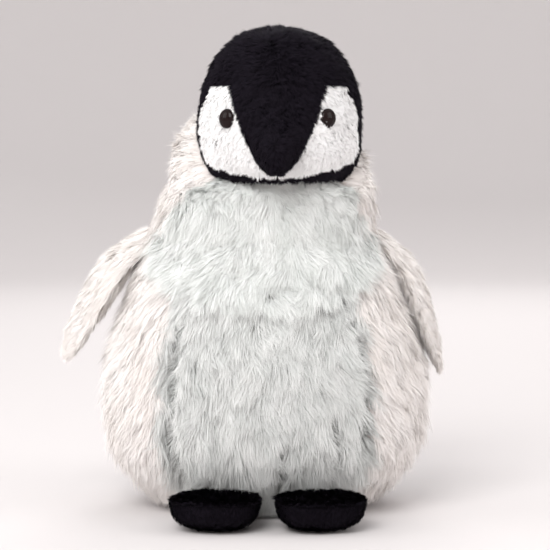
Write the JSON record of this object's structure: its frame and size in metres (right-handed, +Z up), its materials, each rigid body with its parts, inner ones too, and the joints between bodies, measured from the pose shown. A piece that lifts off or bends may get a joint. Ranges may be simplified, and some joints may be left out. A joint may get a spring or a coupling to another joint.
{
  "type": "plush penguin",
  "caption": "Seated plush penguin chick with pile fabric panels sewn over stuffing, turning and nodding head, swinging flippers, bending feet and tail.",
  "frame": {"origin": "on the floor under the middle of the flat base panel", "axes": "+Z up, the toy faces -Y, +X is the toy's own left"},
  "size_m": [0.1985, 0.1788, 0.249],
  "materials": {
    "grey_plush": "matte",
    "pale_plush": "matte",
    "black_plush": "matte",
    "white_plush": "matte",
    "wadding": "matte",
    "pellet_cloth": "matte",
    "satin_tape": "satin",
    "thread": "satin",
    "eye_plastic": "gloss",
    "washer_plastic": "satin"
  },
  "bodies": {
    "torso": {"belly_panel": "grey_plush", "left_side_panel": "pale_plush", "right_side_panel": "pale_plush", "back_left_panel": "grey_plush", "back_right_panel": "grey_plush", "chest_panel": "grey_plush", "base_panel": "pale_plush", "pellet_bag": "pellet_cloth", "body_stuffing": "wadding", "closing_stitch": "thread", "care_label": "satin_tape"},
    "neck": {"throat_panel": "grey_plush", "nape_panel": "grey_plush", "neck_stuffing": "wadding"},
    "head": {"crown_panel": "black_plush", "forehead_gusset": "black_plush", "beak_underside": "black_plush", "chin_strap": "black_plush", "left_cheek_patch": "white_plush", "right_cheek_patch": "white_plush", "left_head_side": "black_plush", "right_head_side": "black_plush", "left_eye": "eye_plastic", "right_eye": "eye_plastic", "left_eye_washer": "washer_plastic", "right_eye_washer": "washer_plastic", "head_stuffing": "wadding"},
    "left_flipper": {"left_flipper_outer": "pale_plush", "left_flipper_inner": "grey_plush", "left_flipper_filling": "wadding"},
    "right_flipper": {"right_flipper_outer": "pale_plush", "right_flipper_inner": "grey_plush", "right_flipper_filling": "wadding"},
    "left_foot": {"left_foot_top": "black_plush", "left_foot_sole": "black_plush", "left_foot_stuffing": "wadding"},
    "right_foot": {"right_foot_top": "black_plush", "right_foot_sole": "black_plush", "right_foot_stuffing": "wadding"},
    "tail": {"tail_top": "grey_plush", "tail_underside": "grey_plush"}
  },
  "joints": [
    {"name": "head_turn", "type": "hinge", "parent": "torso", "child": "neck", "pos_m": [0.0075, -0.008, 0.15], "axis": [0, 0, 1], "range_deg": [-25, 35], "stiffness_Nm_per_rad": 0.1},
    {"name": "head_nod", "type": "hinge", "parent": "neck", "child": "head", "pos_m": [0.0075, -0.006, 0.168], "axis": [0.9994, -0.0349, 0], "range_deg": [-8, 12], "stiffness_Nm_per_rad": 0.3},
    {"name": "left_flipper_swing", "type": "hinge", "parent": "torso", "child": "left_flipper", "pos_m": [0.061, 0, 0.146], "axis": [0, -1, 0], "range_deg": [0, 60], "stiffness_Nm_per_rad": 0.03},
    {"name": "right_flipper_swing", "type": "hinge", "parent": "torso", "child": "right_flipper", "pos_m": [-0.061, 0, 0.146], "axis": [0, 1, 0], "range_deg": [-8, 45], "stiffness_Nm_per_rad": 0.03},
    {"name": "left_foot_flex", "type": "hinge", "parent": "torso", "child": "left_foot", "pos_m": [0.027, -0.05, 0.0125], "axis": [-1, 0, 0], "range_deg": [0, 15], "stiffness_Nm_per_rad": 0.05},
    {"name": "right_foot_flex", "type": "hinge", "parent": "torso", "child": "right_foot", "pos_m": [-0.024, -0.05, 0.0125], "axis": [-1, 0, 0], "range_deg": [0, 15], "stiffness_Nm_per_rad": 0.05},
    {"name": "tail_flex", "type": "hinge", "parent": "torso", "child": "tail", "pos_m": [0, 0.064, 0.021], "axis": [1, 0, 0], "range_deg": [-10, 20], "stiffness_Nm_per_rad": 0.02}
  ]
}
